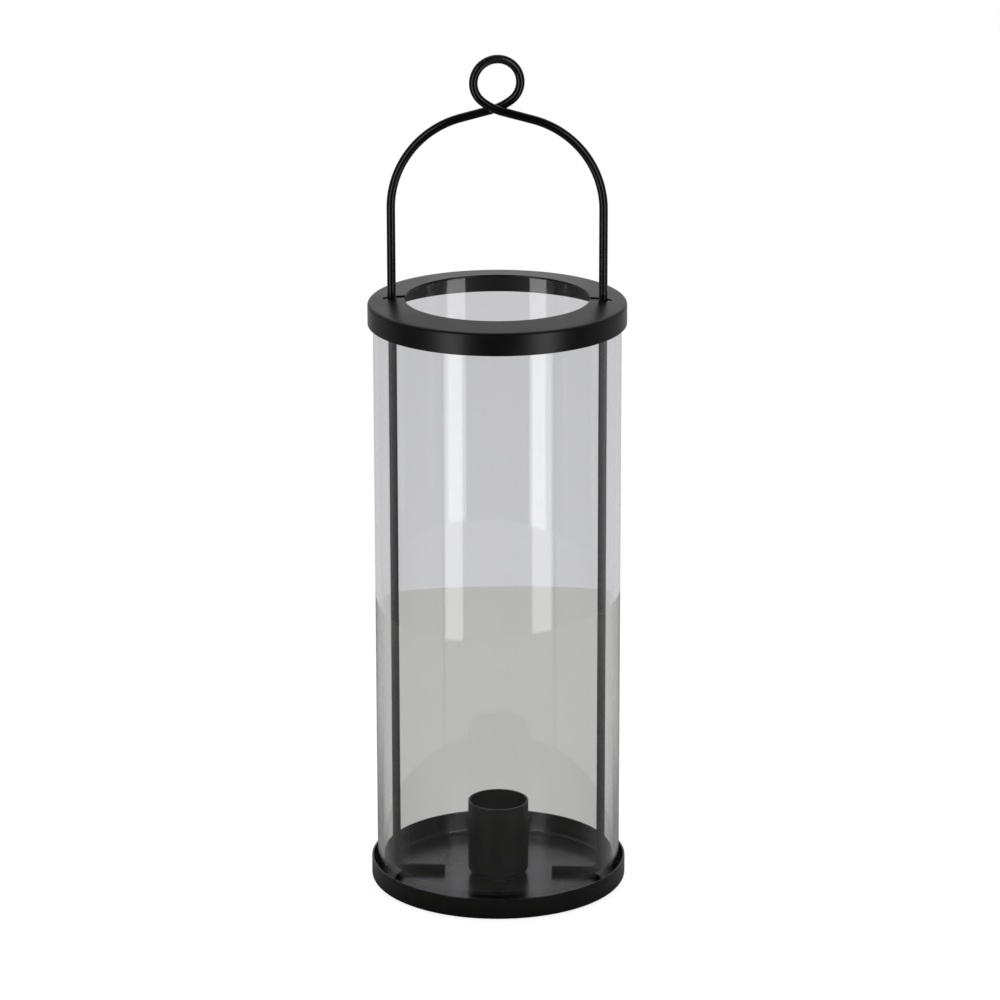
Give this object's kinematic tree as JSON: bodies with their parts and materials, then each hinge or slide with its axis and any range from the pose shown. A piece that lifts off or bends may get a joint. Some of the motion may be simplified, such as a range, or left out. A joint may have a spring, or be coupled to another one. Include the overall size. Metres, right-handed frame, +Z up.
{
  "type": "candle lantern",
  "caption": "Tall candle lantern: a glass cylinder stands in a low metal tray with a candle socket, under a slotted metal ring, with a bent wire handle that ends in a hanging loop.",
  "frame": {"origin": "middle of the tray's underside, where the lantern stands on a table", "axes": "+Z up along the glass; the handle's legs stand at +X and -X; -Y is the front"},
  "size_m": [0.101, 0.101, 0.3331],
  "materials": {
    "black_coat": "satin powder coat",
    "wire_coat": "satin powder coat",
    "clear_glass": "clear, very slightly grey"
  },
  "bodies": {
    "base": {"tray": "black_coat", "candle_socket": "black_coat", "handle_wire": "wire_coat"},
    "glass": {"glass_cylinder": "clear_glass"},
    "ring": {"top_ring": "black_coat"}
  },
  "joints": [
    {"name": "glass_lift", "type": "slide", "parent": "base", "child": "glass", "axis": [0, 0, 1], "range_m": [0, 0.34]},
    {"name": "ring_lift", "type": "slide", "parent": "glass", "child": "ring", "axis": [0, 0, 1], "range_m": [0, 0.11]}
  ]
}
